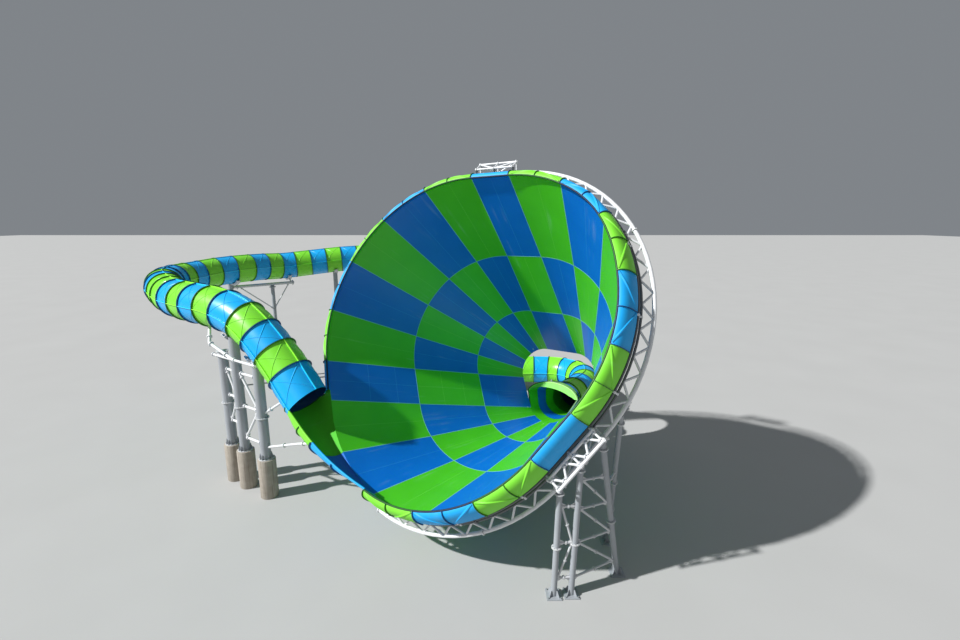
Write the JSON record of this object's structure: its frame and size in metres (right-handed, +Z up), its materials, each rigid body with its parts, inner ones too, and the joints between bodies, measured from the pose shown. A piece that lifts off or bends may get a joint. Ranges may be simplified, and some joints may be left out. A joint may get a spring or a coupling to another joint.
{
  "type": "funnel water slide",
  "caption": "Funnel water slide of checkered glass-fibre shells with inlet and exit tubes, steel ring truss, tower and columns",
  "frame": {"origin": "middle of the bounding box at ground level", "axes": "+X to the right across the picture, +Y away from the viewer, +Z up; the open mouth looks towards -X, -Y and up"},
  "size_m": [37.9941, 37.2639, 20.0489],
  "materials": {
    "blue_panel": "glossy gel coat on glass fibre",
    "green_panel": "glossy gel coat on glass fibre",
    "white_steel": "satin white paint on galvanised tube",
    "grey_steel": "satin mid-grey paint",
    "concrete": "cast concrete"
  },
  "bodies": {
    "root": {"mouth_row_top_left": "blue_panel", "mouth_row_left": "green_panel", "mouth_row_lower_left": "blue_panel", "mouth_row_bottom": "green_panel", "mouth_row_right": "blue_panel", "mouth_row_top": "green_panel", "middle_row_left": "green_panel", "middle_row_bottom": "blue_panel", "middle_row_right": "green_panel", "throat_row_left": "blue_panel", "throat_row_bottom": "green_panel", "throat_row_right": "blue_panel", "entry_chute": "green_panel", "rim_lip_bottom": "blue_panel", "rim_lip_right": "green_panel", "rim_lip_left": "blue_panel", "ring_truss_bottom": "white_steel", "ring_truss_right": "white_steel", "ring_truss_top_left": "white_steel", "tower_box_frame": "white_steel", "top_truss": "white_steel", "throat_ring": "white_steel", "exit_collar": "green_panel", "inlet_tube_start": "blue_panel", "inlet_tube_far": "green_panel", "inlet_tube_bend_back": "blue_panel", "inlet_tube_loop_back": "green_panel", "inlet_tube_loop_front": "blue_panel", "inlet_tube_drop": "green_panel", "inlet_tube_end": "blue_panel", "exit_tube_first": "blue_panel", "exit_tube_bend": "green_panel", "exit_tube_last": "blue_panel", "tower_leg_left": "grey_steel", "tower_leg_middle": "grey_steel", "tower_leg_right": "grey_steel", "tower_rear_strut": "grey_steel", "tower_bracing_front": "grey_steel", "tower_bracing_right": "grey_steel", "tower_bracing_rear": "grey_steel", "column_a_plinth": "concrete", "column_a": "grey_steel", "column_b_plinth": "concrete", "column_b": "grey_steel", "column_c_plinth": "concrete", "column_c": "grey_steel", "column_tie_and_arm": "white_steel", "column_bracing_rear": "white_steel", "column_bracing_front": "white_steel", "tube_end_strut": "white_steel", "chute_strut": "white_steel", "far_column_left": "grey_steel", "far_column_right": "grey_steel", "start_column": "grey_steel", "far_beam_and_post": "grey_steel", "throat_column_left": "grey_steel", "throat_column_right": "grey_steel", "exit_support_1": "grey_steel", "exit_support_2": "grey_steel", "exit_support_3": "grey_steel"}
  },
  "joints": []
}
